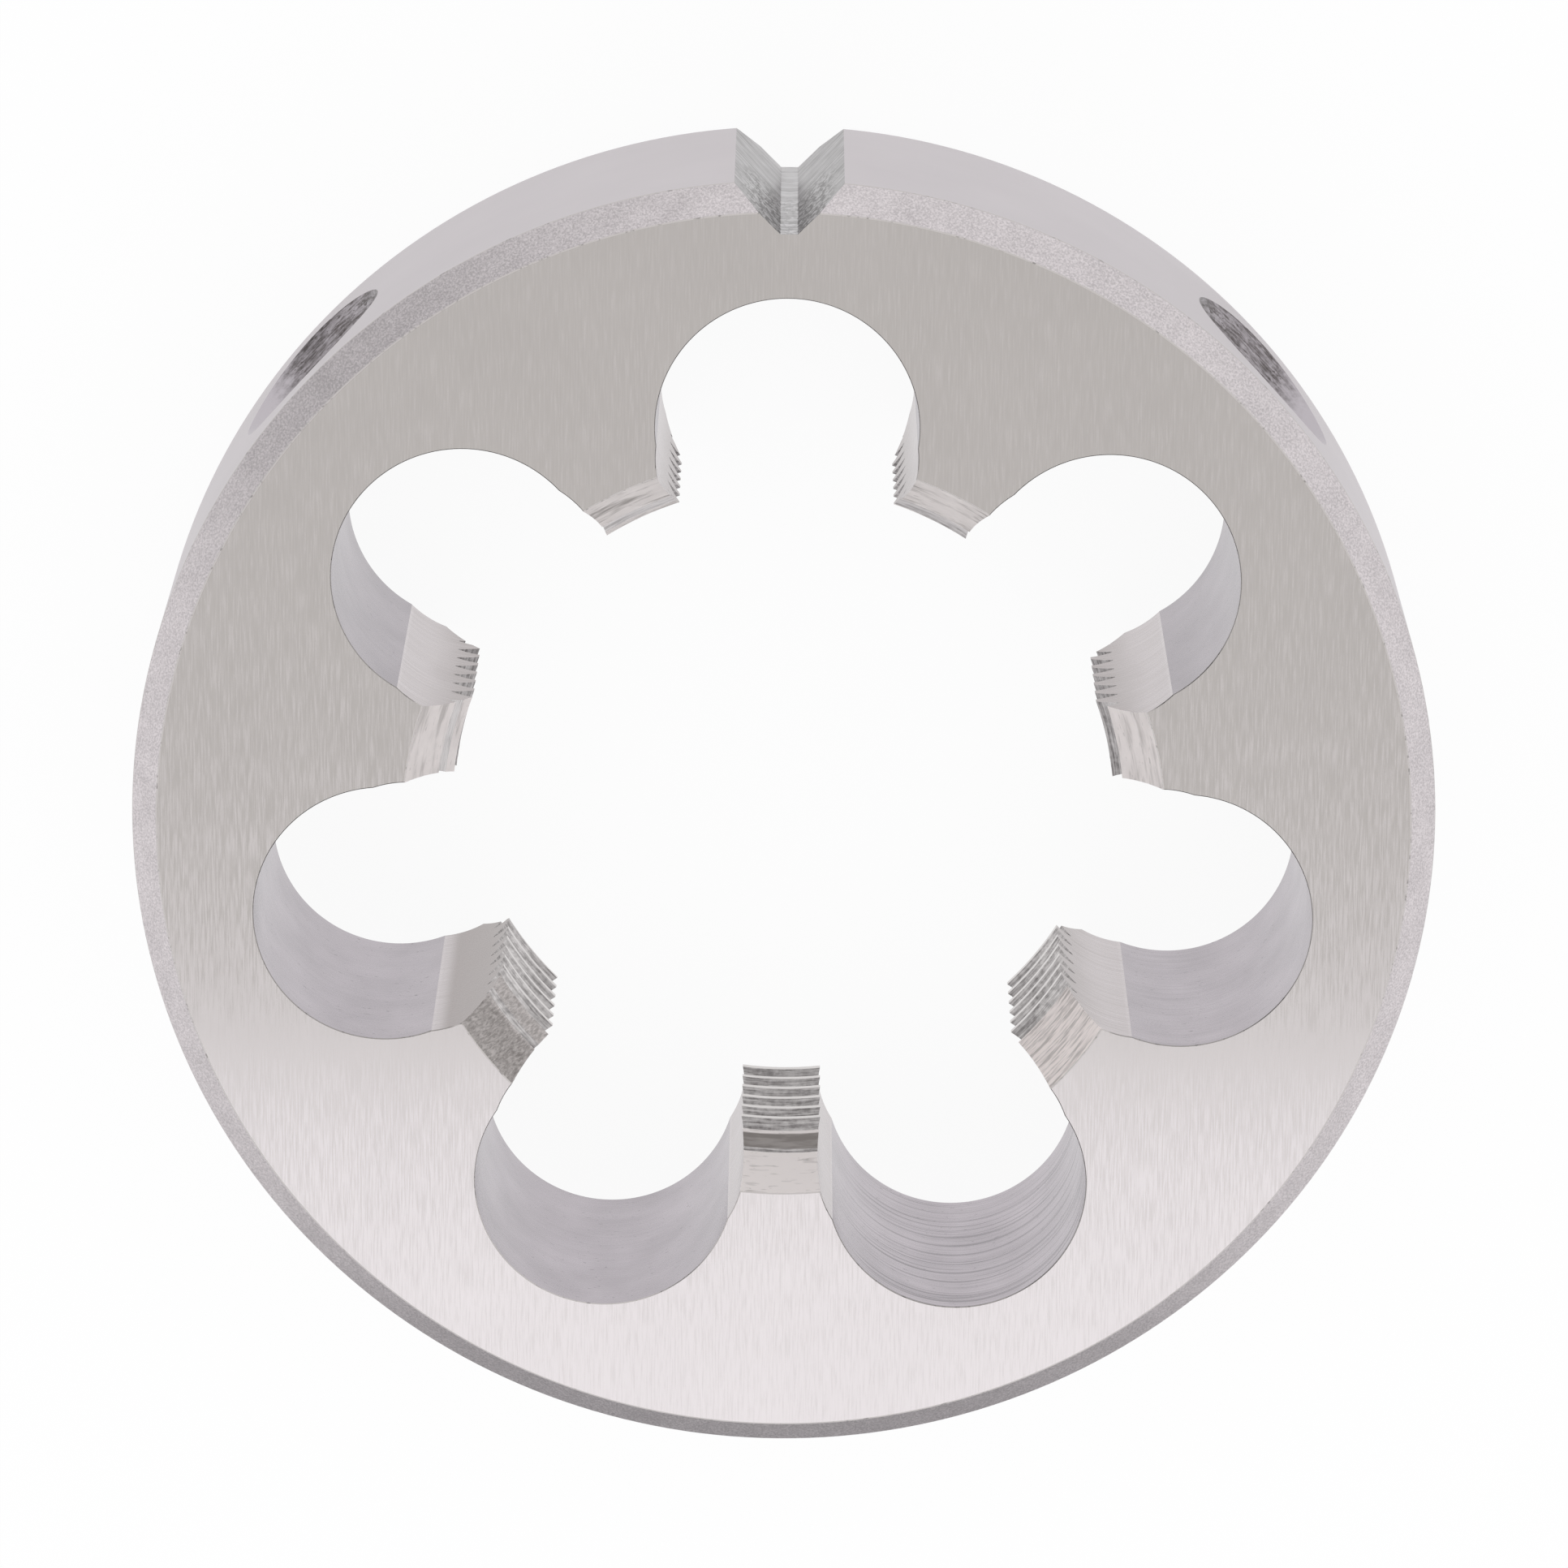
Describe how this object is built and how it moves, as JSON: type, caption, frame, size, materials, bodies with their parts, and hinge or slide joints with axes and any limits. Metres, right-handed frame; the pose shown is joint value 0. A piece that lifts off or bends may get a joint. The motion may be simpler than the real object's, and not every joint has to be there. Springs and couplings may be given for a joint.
{
  "type": "round threading die",
  "caption": "Solid round die that cuts an outside thread, with a ring of chip pockets, short threaded lands, a rim notch and conical screw seats.",
  "frame": {"origin": "centre of the back face, on the thread axis", "axes": "+Z along the thread axis towards the front face, where the bar enters; +Y towards the V notch in the rim"},
  "size_m": [0.075, 0.0749, 0.02],
  "materials": {
    "threading_die": "ground bright steel faces, matte blasted bevels and satin bored pockets"
  },
  "bodies": {
    "root": {"threading_die": "threading_die"}
  },
  "joints": []
}
